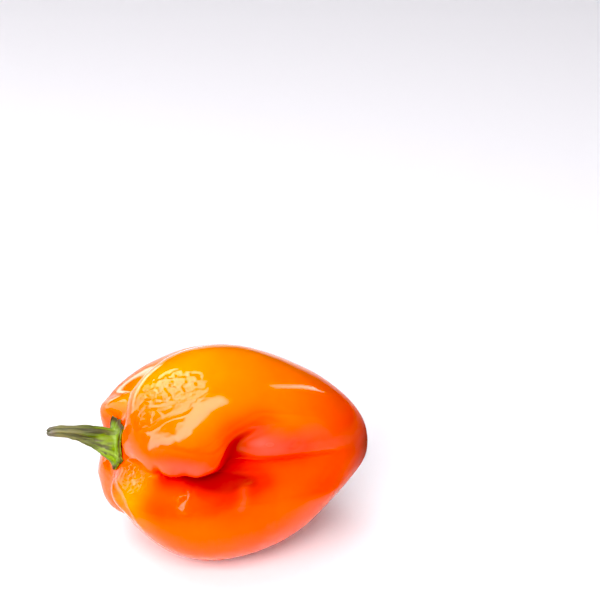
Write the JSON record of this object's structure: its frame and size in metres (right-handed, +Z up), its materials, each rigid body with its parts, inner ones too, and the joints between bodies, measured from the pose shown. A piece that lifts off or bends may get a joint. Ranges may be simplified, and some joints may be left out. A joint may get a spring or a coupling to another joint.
{
  "type": "habanero chilli pepper",
  "caption": "Ripe orange habanero chilli with plump lobes, a deep crease and a short green stalk, lying on its side: a hot fruit for cooking and seasoning.",
  "frame": {"origin": "centre of the bounding box's footprint, on the surface that the fruit lies on", "axes": "+Z up; +X along the fruit's length, from the cut end of the stalk to the blossom tip; -Y is the side with the deep crease, which the picture shows from above and a little from the stalk end"},
  "size_m": [0.0612, 0.0402, 0.0404],
  "materials": {
    "pod_skin": "very glossy waxy fruit skin, orange, yellower on top and red in the crease and towards the tip",
    "stalk_green": "dry ribbed green stalk, grey-brown at the cut end"
  },
  "bodies": {
    "root": {"pod": "pod_skin", "stalk_with_calyx": "stalk_green"}
  },
  "joints": []
}
